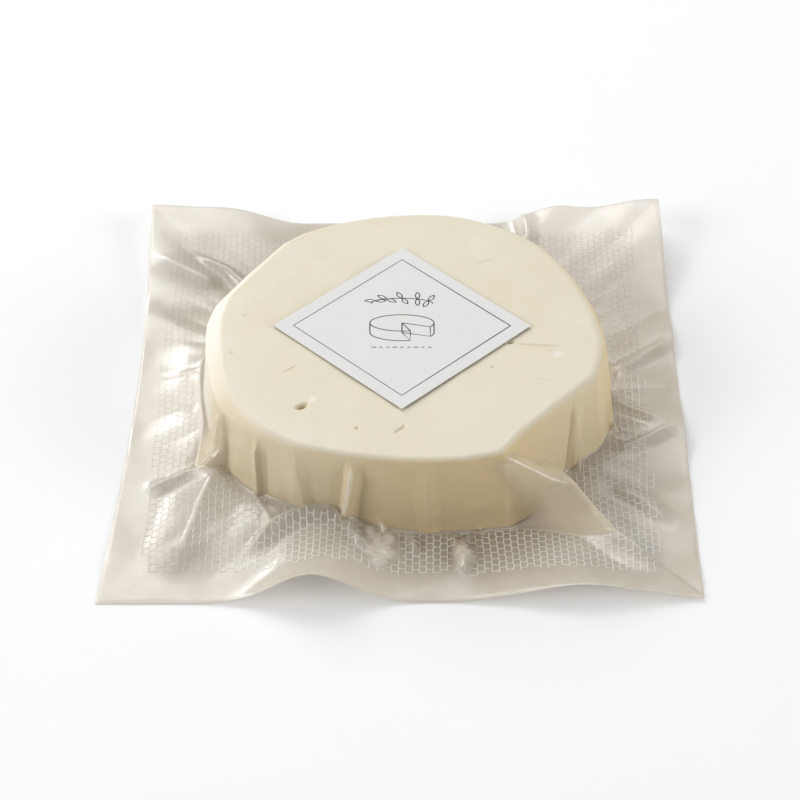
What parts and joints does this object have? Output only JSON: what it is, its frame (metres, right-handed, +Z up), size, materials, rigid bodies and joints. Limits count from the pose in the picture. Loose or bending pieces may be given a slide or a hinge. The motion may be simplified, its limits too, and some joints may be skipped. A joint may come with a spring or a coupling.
{
  "type": "vacuum-packed goat cheese wheel",
  "caption": "Low round of ivory goat cheese sealed flat in a clear embossed vacuum pouch with a creased border, and a square paper label set cornerwise on top.",
  "frame": {"origin": "on the table under the middle of the pouch", "axes": "+Z up from the table the pack lies on, -Y towards the pouch's near edge, +X to the right, seen from that edge"},
  "size_m": [0.1572, 0.165, 0.025],
  "materials": {
    "pouch_film": "gloss",
    "cheese": "satin",
    "label_paper": "matte",
    "label_ink": "matte"
  },
  "bodies": {
    "root": {"vacuum_pack": "pouch_film", "label": "label_paper"}
  },
  "joints": []
}
